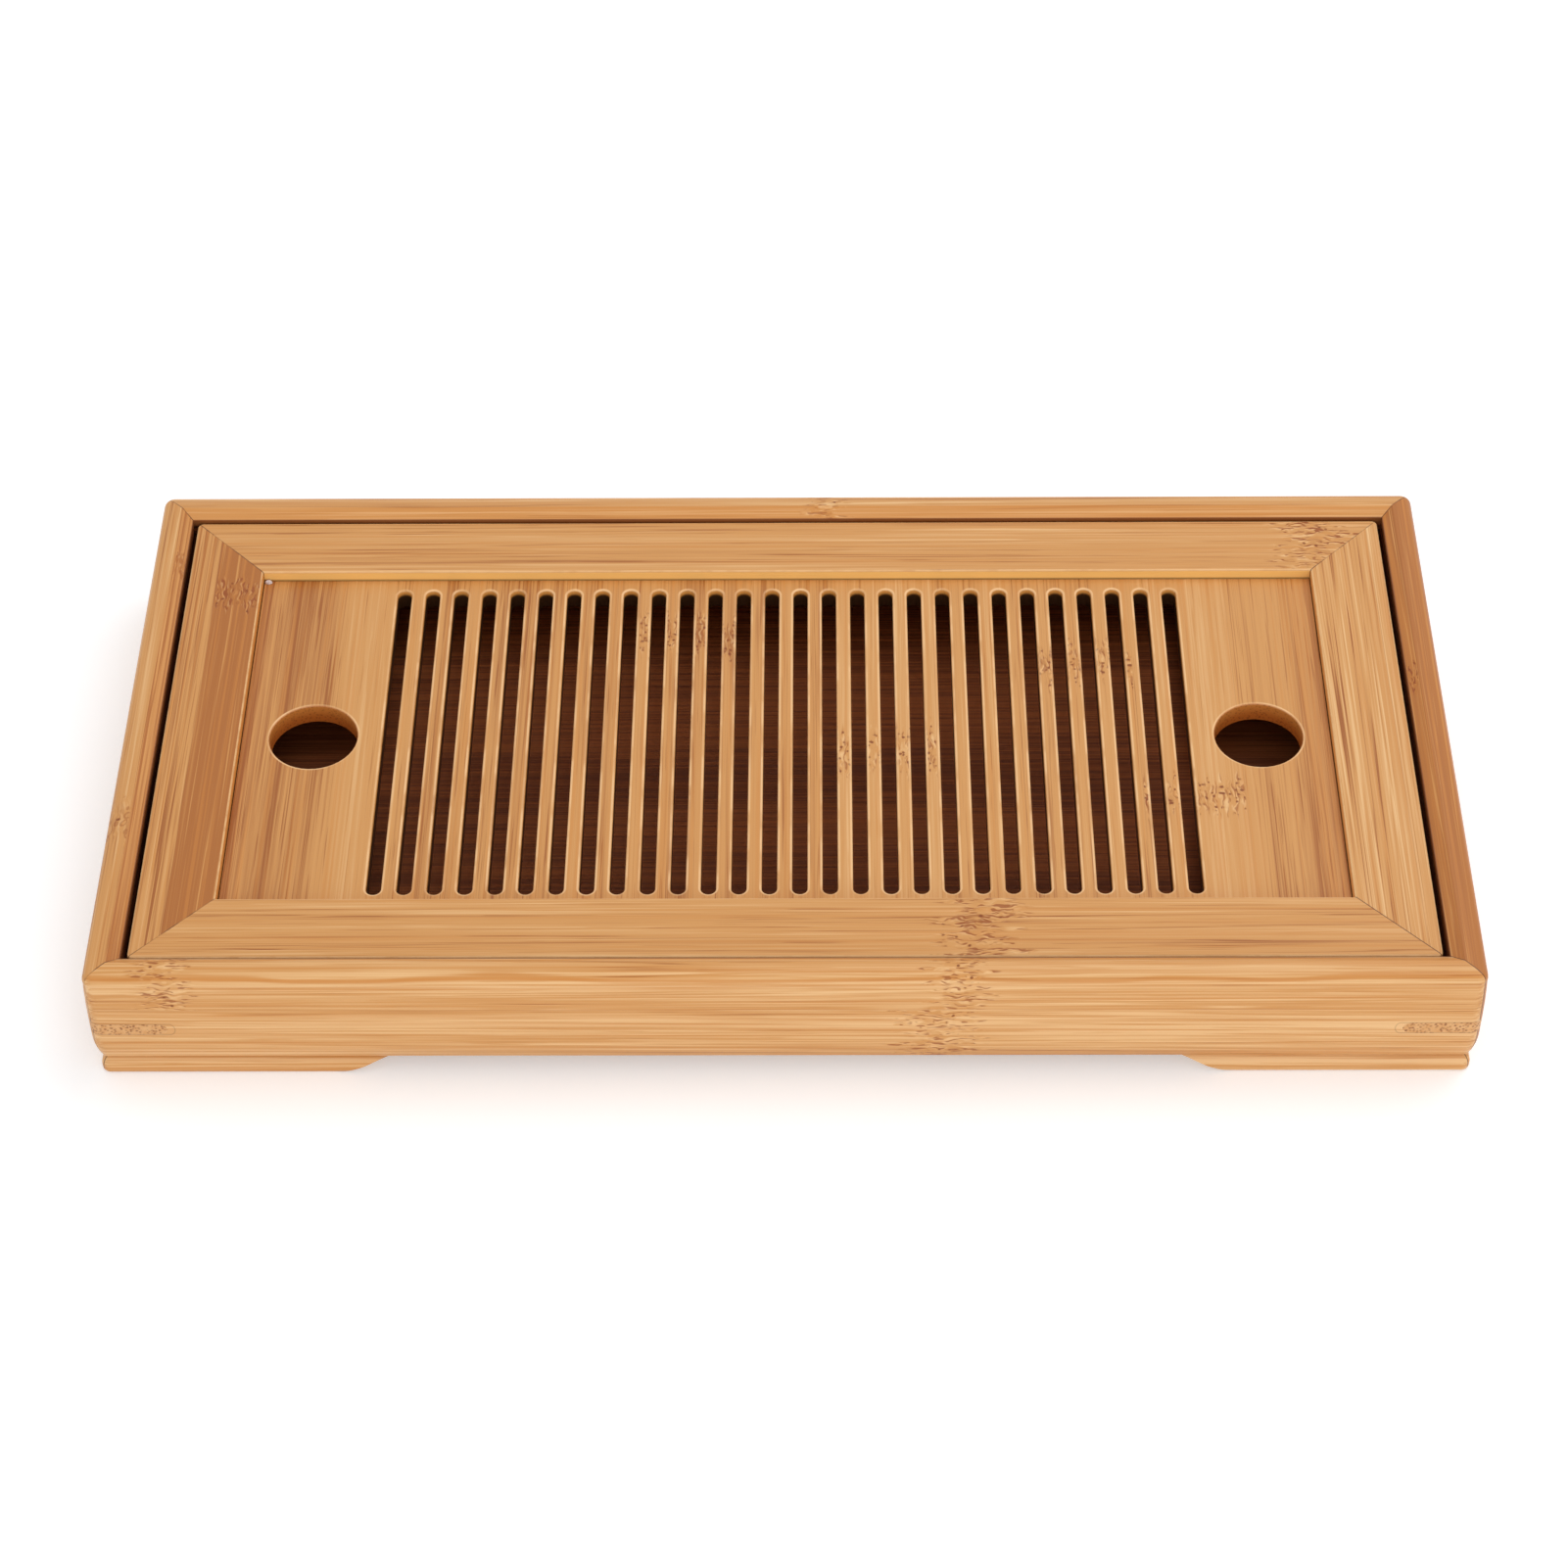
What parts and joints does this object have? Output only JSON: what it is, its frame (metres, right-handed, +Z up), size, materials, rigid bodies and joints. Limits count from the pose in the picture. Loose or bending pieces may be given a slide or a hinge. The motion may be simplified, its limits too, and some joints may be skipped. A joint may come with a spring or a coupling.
{
  "type": "gongfu tea tray",
  "caption": "Shallow bamboo tea tray: a moulded, mitred reservoir box on bracket feet with a lift-out slotted drain grate that has finger holes.",
  "frame": {"origin": "middle of the plane that the feet stand on", "axes": "+X along the tray's length to the right, +Y to the back, +Z up out of the grate"},
  "size_m": [0.27, 0.14, 0.0285],
  "materials": {
    "rail_bamboo": "laminated honey-coloured bamboo under a clear satin lacquer",
    "grate_bamboo": "laminated honey-coloured bamboo under a clear satin lacquer",
    "panel_bamboo": "edge-glued bamboo strips under a clear satin lacquer",
    "base_bamboo": "dark brown bamboo board, sealed with lacquer",
    "key_bamboo": "bamboo end grain, sanded flush and lacquered"
  },
  "bodies": {
    "box": {"front_rail": "rail_bamboo", "right_rail": "rail_bamboo", "back_rail": "rail_bamboo", "left_rail": "rail_bamboo", "corner_key_front_left": "key_bamboo", "corner_key_front_right": "key_bamboo", "corner_key_back_right": "key_bamboo", "corner_key_back_left": "key_bamboo", "base_board": "base_bamboo", "front_rail_foot_left": "rail_bamboo", "front_rail_foot_right": "rail_bamboo", "right_rail_foot_front": "rail_bamboo", "right_rail_foot_back": "rail_bamboo", "back_rail_foot_right": "rail_bamboo", "back_rail_foot_left": "rail_bamboo", "left_rail_foot_back": "rail_bamboo", "left_rail_foot_front": "rail_bamboo"},
    "grate": {"grate_front_rail": "grate_bamboo", "grate_right_rail": "grate_bamboo", "grate_back_rail": "grate_bamboo", "grate_left_rail": "grate_bamboo", "grate_key_front_left": "key_bamboo", "grate_key_front_right": "key_bamboo", "grate_key_back_right": "key_bamboo", "grate_key_back_left": "key_bamboo", "grate_panel": "panel_bamboo"}
  },
  "joints": [
    {"name": "grate_lift", "type": "slide", "parent": "box", "child": "grate", "axis": [0, 0, 1], "range_m": [0, 0.06]}
  ]
}
